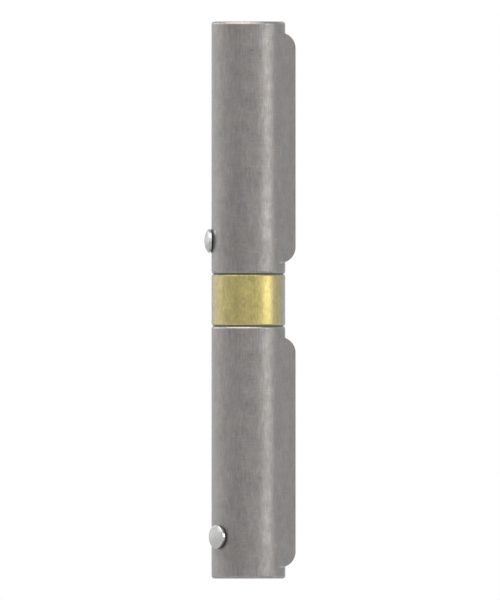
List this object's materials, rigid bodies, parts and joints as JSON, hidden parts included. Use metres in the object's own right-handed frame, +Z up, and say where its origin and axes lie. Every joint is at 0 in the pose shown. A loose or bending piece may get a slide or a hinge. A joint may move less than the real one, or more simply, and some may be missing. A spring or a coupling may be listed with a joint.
{
  "type": "weld-on barrel hinge",
  "caption": "Weld-on barrel hinge with two teardrop steel leaves that turn on a fixed pin, a brass bearing ring between them and domed retaining pins.",
  "frame": {"origin": "on the hinge axis, at the centre of the lower leaf's flat end face", "axes": "+Z up along the hinge axis, +X towards the tips of the weld noses, -Y is the front shown in the picture"},
  "size_m": [0.0248, 0.02, 0.151],
  "materials": {
    "leaf_steel": "drawn bar with a fine vertical grain, light scuffs and dull patches",
    "ring_brass": "turned, satin",
    "pin_steel": "ground",
    "polished_steel": "polished"
  },
  "bodies": {
    "lower": {"lower_leaf": "leaf_steel", "hinge_pin": "pin_steel", "lower_retaining_pin": "polished_steel"},
    "ring": {"bearing_ring": "ring_brass"},
    "upper": {"upper_leaf": "leaf_steel", "upper_retaining_pin": "polished_steel"}
  },
  "joints": [
    {"name": "upper_leaf_swing", "type": "hinge", "parent": "lower", "child": "upper", "pos_m": [0, 0, 0.0825], "axis": [0, 0, 1], "continuous": true},
    {"name": "bearing_ring_spin", "type": "hinge", "parent": "lower", "child": "ring", "pos_m": [0, 0, 0.0755], "axis": [0, 0, 1], "continuous": true}
  ]
}
